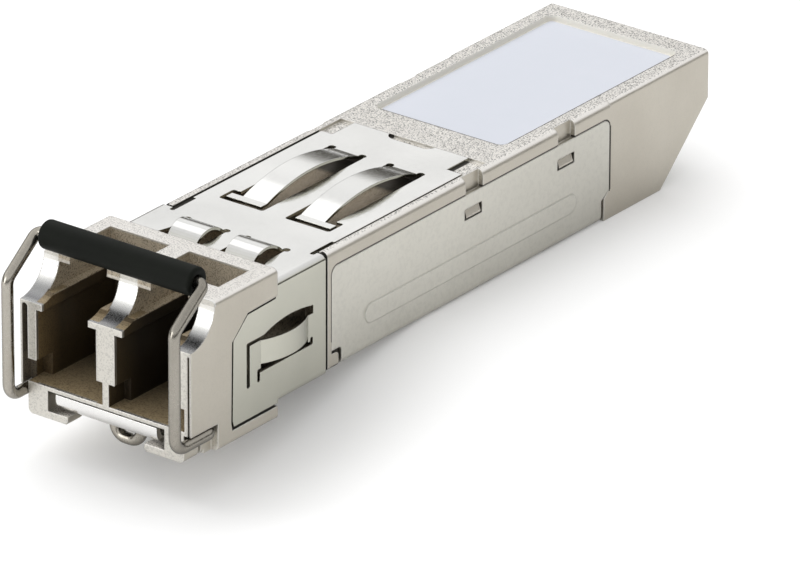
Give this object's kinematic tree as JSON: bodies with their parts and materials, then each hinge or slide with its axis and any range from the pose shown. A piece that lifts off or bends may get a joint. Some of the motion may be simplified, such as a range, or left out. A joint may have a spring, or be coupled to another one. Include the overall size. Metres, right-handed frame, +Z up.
{
  "type": "optical transceiver module",
  "caption": "Pluggable optical transceiver module: die-cast body with duplex fibre ports, spring shield collar, clip-fit cover, card edge and a wire bail that works the latch slide.",
  "frame": {"origin": "on the module's centre plane and its bottom plane, at the nose's rear face, where the module stops against the cage", "axes": "+Z up from the bottom plane to the label face, +Y from the nose to the card edge (the way it is pushed in), +X to the right seen from the front"},
  "size_m": [0.015, 0.0587, 0.0145],
  "materials": {
    "casting": "die-cast zinc alloy with satin nickel plating, fine cast grain on the top faces",
    "cover_sheet": "nickel plated stamped sheet, smooth satin",
    "collar_sheet": "bright spring sheet, smooth",
    "label_film": "pale blank label film, satin",
    "board": "solder mask over woven laminate",
    "gold": "gold plated copper",
    "machined_steel": "turned stainless steel",
    "ceramic": "white zirconia ceramic, polished",
    "can_metal": "gold flashed header and can",
    "polyimide": "amber flexible circuit",
    "black_plastic": "moulded glass filled plastic",
    "gasket": "conductive elastomer",
    "chip_epoxy": "moulded chip package",
    "capacitor": "ceramic chip with tinned ends",
    "ferrite": "sintered ferrite",
    "thermal": "soft filled silicone gap pad",
    "wire": "nickel plated spring wire, satin",
    "sleeve_rubber": "black rubber sleeve, satin"
  },
  "bodies": {
    "module_body": {"main_housing": "casting", "bottom_cover": "cover_sheet", "emi_collar": "collar_sheet", "label": "label_film", "pcb": "board", "contacts_top": "gold", "contacts_bottom": "gold", "tosa_barrel": "machined_steel", "tosa_split_sleeve": "ceramic", "tosa_fibre_stub": "ceramic", "tosa_can": "can_metal", "tosa_pins": "gold", "tosa_flex": "polyimide", "rosa_barrel": "machined_steel", "rosa_can": "can_metal", "rosa_pins": "gold", "rosa_flex": "polyimide", "osa_retainer": "black_plastic", "emi_gasket": "gasket", "laser_driver_ic": "chip_epoxy", "limiting_amp_ic": "chip_epoxy", "microcontroller_ic": "chip_epoxy", "chip_capacitors": "capacitor", "chip_resistors": "chip_epoxy", "ferrite_beads": "ferrite", "thermal_pad_top": "thermal", "thermal_pad_bottom": "thermal"},
    "actuator": {"latch_actuator": "collar_sheet"},
    "bail": {"bail_wire": "wire", "bail_sleeve": "sleeve_rubber"}
  },
  "joints": [
    {"name": "bail_swing", "type": "hinge", "parent": "module_body", "child": "bail", "pos_m": [0, -0.00667, 0.00036], "axis": [1, 0, 0], "range_deg": [0, 90]},
    {"name": "actuator_slide", "type": "slide", "parent": "module_body", "child": "actuator", "axis": [0, 1, 0], "range_m": [0, 0.00145]}
  ],
  "couplings": [
    {"joint": "bail_swing", "follows": "actuator_slide", "rad_per_m": 1083}
  ]
}
